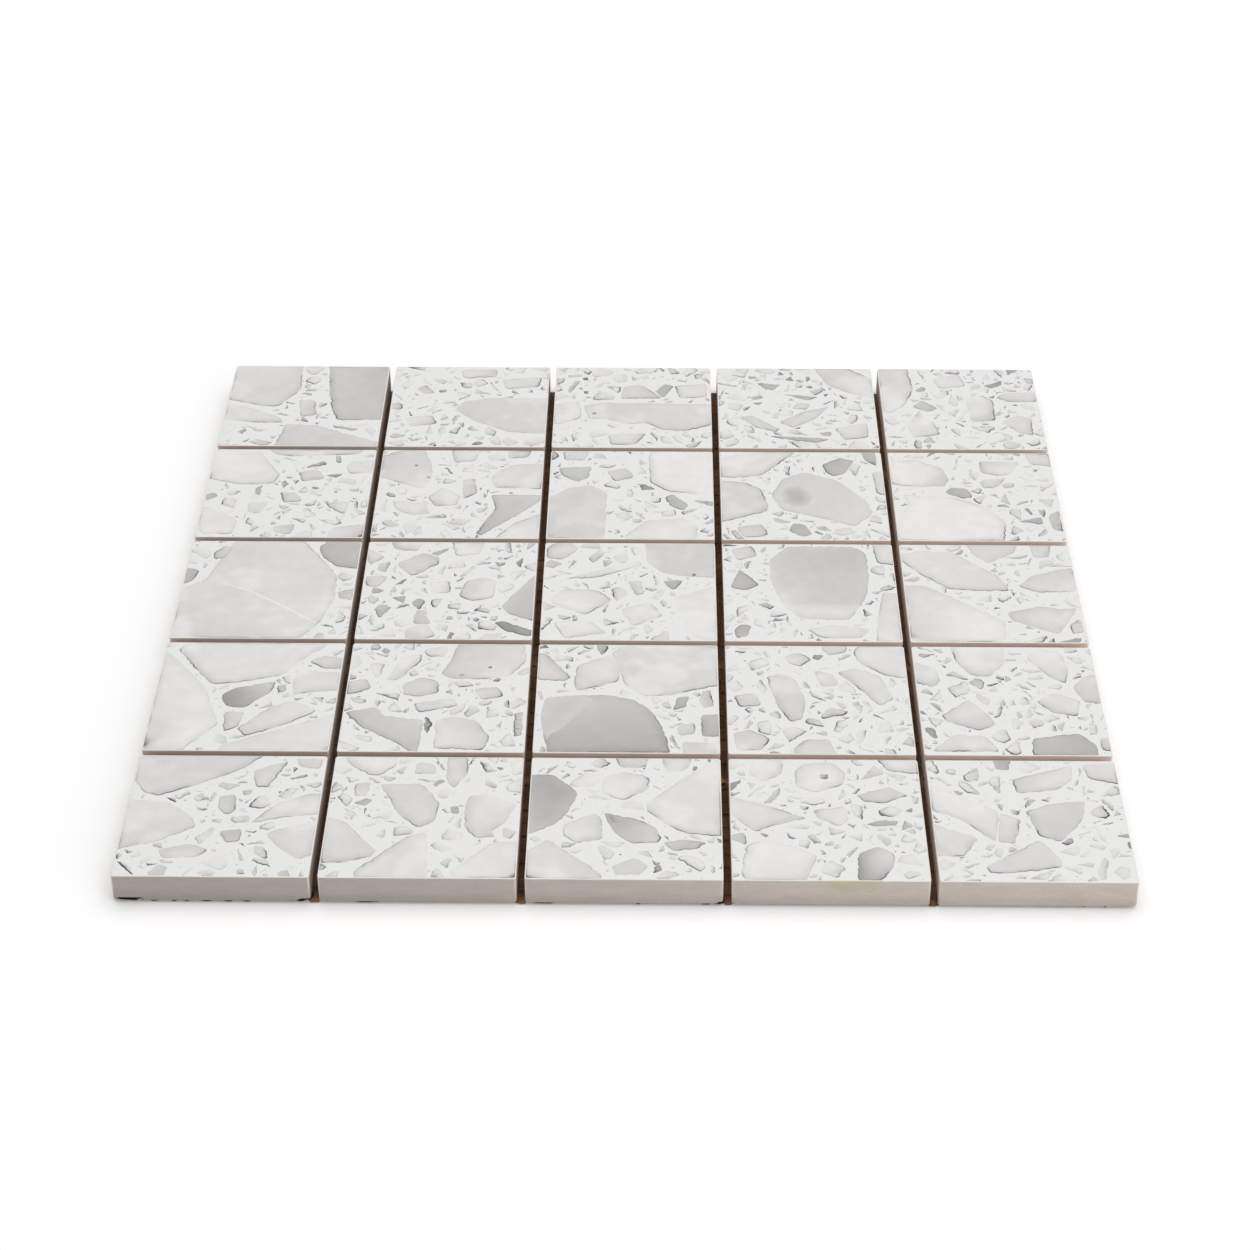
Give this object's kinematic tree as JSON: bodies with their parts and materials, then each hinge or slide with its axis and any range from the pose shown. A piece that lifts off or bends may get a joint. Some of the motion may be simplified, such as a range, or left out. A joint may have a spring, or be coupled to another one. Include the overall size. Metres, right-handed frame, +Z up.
{
  "type": "mosaic tile sheet",
  "caption": "Square mosaic sheet of thick square terrazzo-look porcelain tiles in an even grid with open joints, face up on a laid net bedded on a brown adhesive film.",
  "frame": {"origin": "centre of the sheet's underside, on the surface it lies on", "axes": "+Z up out of the tiles' face, +X along a row of tiles to the right, +Y away from the front row"},
  "size_m": [0.2976, 0.2976, 0.0099],
  "materials": {
    "porcelain": "satin",
    "scrim_yarn": "coated glass yarn",
    "mounting_adhesive": "matt"
  },
  "bodies": {
    "root": {"adhesive_film": "mounting_adhesive", "scrim_lower_warp": "scrim_yarn", "scrim_weft": "scrim_yarn", "scrim_upper_warp": "scrim_yarn", "tile_r1_c1": "porcelain", "tile_r1_c2": "porcelain", "tile_r1_c3": "porcelain", "tile_r1_c4": "porcelain", "tile_r1_c5": "porcelain", "tile_r2_c1": "porcelain", "tile_r2_c2": "porcelain", "tile_r2_c3": "porcelain", "tile_r2_c4": "porcelain", "tile_r2_c5": "porcelain", "tile_r3_c1": "porcelain", "tile_r3_c2": "porcelain", "tile_r3_c3": "porcelain", "tile_r3_c4": "porcelain", "tile_r3_c5": "porcelain", "tile_r4_c1": "porcelain", "tile_r4_c2": "porcelain", "tile_r4_c3": "porcelain", "tile_r4_c4": "porcelain", "tile_r4_c5": "porcelain", "tile_r5_c1": "porcelain", "tile_r5_c2": "porcelain", "tile_r5_c3": "porcelain", "tile_r5_c4": "porcelain", "tile_r5_c5": "porcelain"}
  },
  "joints": []
}
